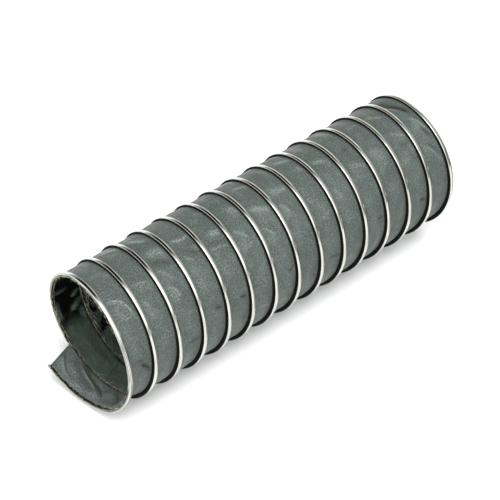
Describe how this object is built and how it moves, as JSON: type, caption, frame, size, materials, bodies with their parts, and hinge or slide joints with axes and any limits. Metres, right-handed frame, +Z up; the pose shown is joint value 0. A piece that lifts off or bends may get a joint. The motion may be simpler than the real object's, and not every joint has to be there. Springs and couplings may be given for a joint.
{
  "type": "fume extraction hose",
  "caption": "Short length of flexible extraction hose: coated fabric tube held open by an outer spiral steel clamping channel, one end with a loose cut flap.",
  "frame": {"origin": "on the floor, under the middle of the hose's length", "axes": "+X along the hose, from the end with the loose flap to the far end; +Z up; the coil is a left-hand helix about +X"},
  "size_m": [0.545, 0.1694, 0.1694],
  "materials": {
    "coated_fabric": "grey coated woven fabric, low sheen",
    "channel_steel": "bright roll-formed steel strip"
  },
  "bodies": {
    "root": {"fabric_strip": "coated_fabric", "clamp_channel": "channel_steel"}
  },
  "joints": []
}
